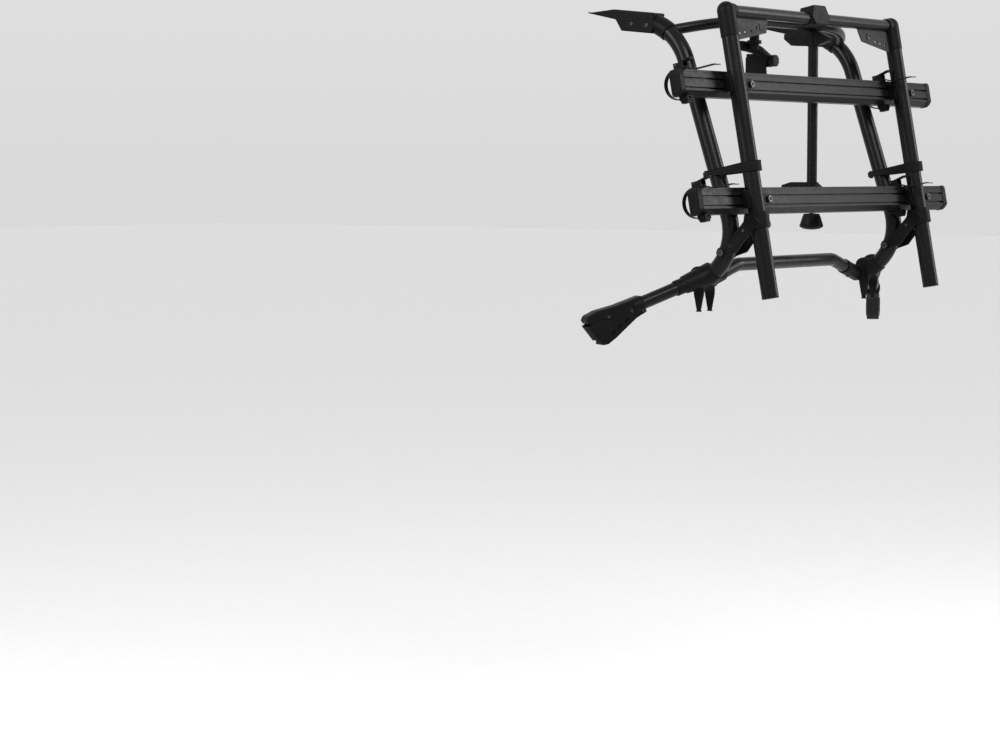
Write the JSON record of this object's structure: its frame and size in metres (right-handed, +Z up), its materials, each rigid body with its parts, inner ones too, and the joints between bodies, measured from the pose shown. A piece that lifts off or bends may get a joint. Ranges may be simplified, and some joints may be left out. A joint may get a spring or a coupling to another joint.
{
  "type": "vehicle rear bike rack",
  "caption": "rear-door bike rack with a folding U-shaped platform, wheel rails, telescoping feet and clamping bike arms",
  "frame": {"origin": "midway between the two roof hooks, where their lips rest on the top edge of the door", "axes": "+X to the right when the rack is looked at from behind the vehicle, +Y toward the vehicle, +Z up"},
  "size_m": [1.5154, 0.5784, 0.8868],
  "materials": {
    "black_tube": "satin black powder coat",
    "rail_grey": "satin dark grey coat",
    "moulded": "matte black, fine texture",
    "zinc": "zinc plated",
    "rubber": "matte rubber"
  },
  "bodies": {
    "base": {"left_upright": "black_tube", "right_upright": "black_tube", "upper_cross_tube": "black_tube", "lower_cross_tube": "black_tube", "left_bracket_cover": "moulded", "right_bracket_cover": "moulded", "left_roof_hook": "black_tube", "right_roof_hook": "black_tube", "bracket_screws": "zinc", "left_tube_clamp": "moulded", "right_tube_clamp": "moulded", "left_sleeve": "moulded", "right_sleeve": "moulded", "sleeve_screws": "zinc", "hinge_bolts": "zinc", "left_hold_strap": "rubber", "right_hold_strap": "rubber", "hold_strap_knobs": "rubber"},
    "platform": {"left_side_tube": "black_tube", "right_side_tube": "black_tube", "tube_end_caps": "moulded", "crossbar": "black_tube", "left_corner": "moulded", "right_corner": "moulded", "crossbar_saddle": "moulded", "left_gusset": "rail_grey", "right_gusset": "rail_grey", "left_pivot_arm": "moulded", "right_pivot_arm": "moulded", "pivot_arm_bolts": "zinc", "lower_rail": "rail_grey", "upper_rail": "rail_grey", "rail_end_caps": "moulded", "rail_saddles": "moulded", "rail_bolts": "zinc", "wheel_straps": "moulded", "strap_anchors": "moulded", "buckle_bodies": "moulded", "lever_pins": "zinc"},
    "left_foot": {"left_foot_arm": "black_tube", "left_foot_housing": "moulded", "left_pad_pin": "zinc"},
    "right_foot": {"right_foot_arm": "black_tube", "right_foot_housing": "moulded", "right_pad_pin": "zinc"},
    "left_pad": {"left_foot_pad": "rubber"},
    "right_pad": {"right_foot_pad": "rubber"},
    "lever_ll": {"lever_lower_left": "moulded"},
    "lever_lr": {"lever_lower_right": "moulded"},
    "lever_ul": {"lever_upper_left": "moulded"},
    "lever_ur": {"lever_upper_right": "moulded"},
    "long_arm": {"long_arm_clamp": "moulded", "long_arm_pole": "black_tube"},
    "long_claw": {"long_arm_head": "moulded"},
    "long_jaw": {"long_arm_jaw": "moulded"},
    "long_knob": {"long_arm_knob": "moulded"},
    "short_arm": {"short_arm_clamp": "moulded"},
    "short_jaw": {"short_arm_jaw": "moulded"},
    "short_knob": {"short_arm_knob": "moulded"}
  },
  "joints": [
    {"name": "platform_fold", "type": "hinge", "parent": "base", "child": "platform", "pos_m": [0, -0.33391, -0.60689], "axis": [1, 0, 0], "range_deg": [0, 100.8], "deforming": ["left_hold_strap", "right_hold_strap"]},
    {"name": "left_foot_slide", "type": "slide", "parent": "base", "child": "left_foot", "axis": [-0.8292, 0.4446, -0.3387], "range_m": [0, 0.04]},
    {"name": "left_pad_tilt", "type": "hinge", "parent": "left_foot", "child": "left_pad", "pos_m": [-0.70707, -0.12924, -0.79765], "axis": [0.4726, 0.8813, 0], "range_deg": [-8, 5]},
    {"name": "right_foot_slide", "type": "slide", "parent": "base", "child": "right_foot", "axis": [0.8292, 0.4446, -0.3387], "range_m": [0, 0.04]},
    {"name": "right_pad_tilt", "type": "hinge", "parent": "right_foot", "child": "right_pad", "pos_m": [0.70707, -0.12924, -0.79765], "axis": [0.4726, -0.8813, 0], "range_deg": [-8, 5]},
    {"name": "long_arm_swing", "type": "hinge", "parent": "base", "child": "long_arm", "pos_m": [0.112, -0.26353, -0.00027], "axis": [1, 0, 0], "range_deg": [-4, 20]},
    {"name": "long_claw_swivel", "type": "hinge", "parent": "long_arm", "child": "long_claw", "pos_m": [0.112, -0.26353, -0.42727], "axis": [0, 0, 1], "range_deg": [-60, 60]},
    {"name": "long_jaw_slide", "type": "slide", "parent": "long_claw", "child": "long_jaw", "axis": [0, 0, 1], "range_m": [0, 0.022]},
    {"name": "long_knob_turn", "type": "hinge", "parent": "long_claw", "child": "long_knob", "pos_m": [0.112, -0.26353, -0.51427], "axis": [0, 0, 1], "range_deg": [-1980, 0]},
    {"name": "short_arm_swing", "type": "hinge", "parent": "base", "child": "short_arm", "pos_m": [-0.19, -0.26122, -0.00098], "axis": [0.9943, -0.1023, 0.0313], "range_deg": [-5, 12]},
    {"name": "short_jaw_slide", "type": "slide", "parent": "short_arm", "child": "short_jaw", "axis": [0, 1, 0], "range_m": [0, 0.018]},
    {"name": "short_knob_turn", "type": "hinge", "parent": "short_arm", "child": "short_knob", "pos_m": [-0.127, -0.27672, -0.10398], "axis": [0, 1, 0], "range_deg": [-1620, 0]},
    {"name": "lever_lower_left_hinge", "type": "hinge", "parent": "platform", "child": "lever_ll", "pos_m": [-0.622, -0.36106, -0.42901], "axis": [-1, 0, 0], "range_deg": [0, 70]},
    {"name": "lever_lower_right_hinge", "type": "hinge", "parent": "platform", "child": "lever_lr", "pos_m": [0.392, -0.36106, -0.42901], "axis": [-1, 0, 0], "range_deg": [0, 70]},
    {"name": "lever_upper_left_hinge", "type": "hinge", "parent": "platform", "child": "lever_ul", "pos_m": [-0.622, -0.30466, -0.13334], "axis": [-1, 0, 0], "range_deg": [0, 70]},
    {"name": "lever_upper_right_hinge", "type": "hinge", "parent": "platform", "child": "lever_ur", "pos_m": [0.392, -0.30466, -0.13334], "axis": [-1, 0, 0], "range_deg": [0, 70]}
  ],
  "couplings": [
    {"joint": "long_jaw_slide", "follows": "long_knob_turn", "m_per_rad": -0.00063662},
    {"joint": "short_jaw_slide", "follows": "short_knob_turn", "m_per_rad": -0.00063662}
  ]
}
